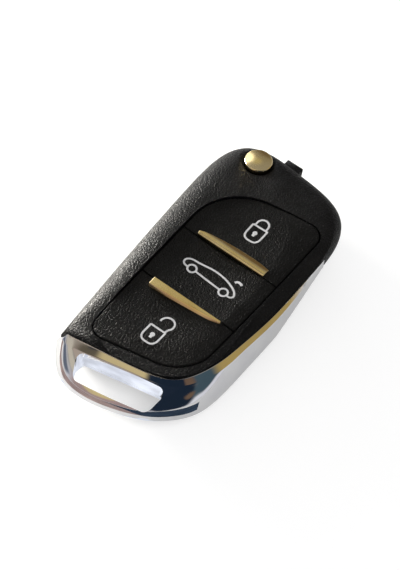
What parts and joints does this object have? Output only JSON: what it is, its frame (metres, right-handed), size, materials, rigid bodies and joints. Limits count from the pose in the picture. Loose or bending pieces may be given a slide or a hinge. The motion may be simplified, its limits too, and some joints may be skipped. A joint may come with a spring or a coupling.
{
  "type": "flip key fob shell",
  "caption": "Flip-key fob shell with push buttons, a blade that folds out of its side, a round release button and a bright metal frame that forms a key-ring loop.",
  "frame": {"origin": "on the surface that the fob lies on, under the middle of its box", "axes": "+X towards the side with the bright wall, +Y towards the hub end, +Z out of the button face"},
  "size_m": [0.0376, 0.0772, 0.0159],
  "materials": {
    "case_plastic": "fine moulded leather grain",
    "key_plastic": "fine moulded leather grain",
    "cap_plastic": "smooth satin",
    "bright_chrome": "mirror bright plating",
    "gold_metal": "champagne gold, polished",
    "mat_rubber": "matt",
    "board_green": "green solder mask",
    "switch_steel": "stamped tin plate",
    "chip_black": "moulded resin",
    "cell_steel": "nickel plated",
    "contact_brass": "sprung bronze",
    "hub_metal": "black die casting",
    "blade_steel": "milled steel",
    "pin_steel": "plain steel",
    "spring_steel": "spring wire"
  },
  "bodies": {
    "case": {"front_cover": "case_plastic", "rear_cover": "case_plastic", "chrome_frame": "bright_chrome", "button_membrane": "mat_rubber", "circuit_board": "board_green", "unlock_switch": "switch_steel", "trunk_switch": "switch_steel", "lock_switch": "switch_steel", "controller_chip": "chip_black", "transponder_chip": "chip_black", "coin_cell": "cell_steel", "positive_contact": "contact_brass", "negative_contact": "contact_brass", "pivot_cap": "cap_plastic"},
    "lock_key": {"lock_button": "key_plastic", "lock_strip": "gold_metal"},
    "trunk_key": {"trunk_button": "key_plastic"},
    "unlock_key": {"unlock_button": "key_plastic", "unlock_strip": "gold_metal"},
    "blade": {"flip_hub": "hub_metal", "key_blade": "blade_steel", "blade_roll_pin": "pin_steel", "flip_spring": "spring_steel"},
    "release": {"release_button": "gold_metal"}
  },
  "joints": [
    {"name": "lock_press", "type": "slide", "parent": "case", "child": "lock_key", "axis": [0, 0, -1], "range_m": [0, 0.00045], "stiffness_N_per_m": 1000, "springref_m": -0.0003},
    {"name": "trunk_press", "type": "slide", "parent": "case", "child": "trunk_key", "axis": [0, 0, -1], "range_m": [0, 0.00045], "stiffness_N_per_m": 1000, "springref_m": -0.0003},
    {"name": "unlock_press", "type": "slide", "parent": "case", "child": "unlock_key", "axis": [0, 0, -1], "range_m": [0, 0.00045], "stiffness_N_per_m": 1000, "springref_m": -0.0003},
    {"name": "blade_flip", "type": "hinge", "parent": "case", "child": "blade", "pos_m": [-0.0096, 0.0315, 0.007], "axis": [0, 0, -1], "range_deg": [0, 180]},
    {"name": "release_press", "type": "slide", "parent": "blade", "child": "release", "axis": [0, 0, -1], "range_m": [0, 0.0015], "stiffness_N_per_m": 400, "springref_m": -0.001, "deforming": ["flip_spring"]}
  ]
}
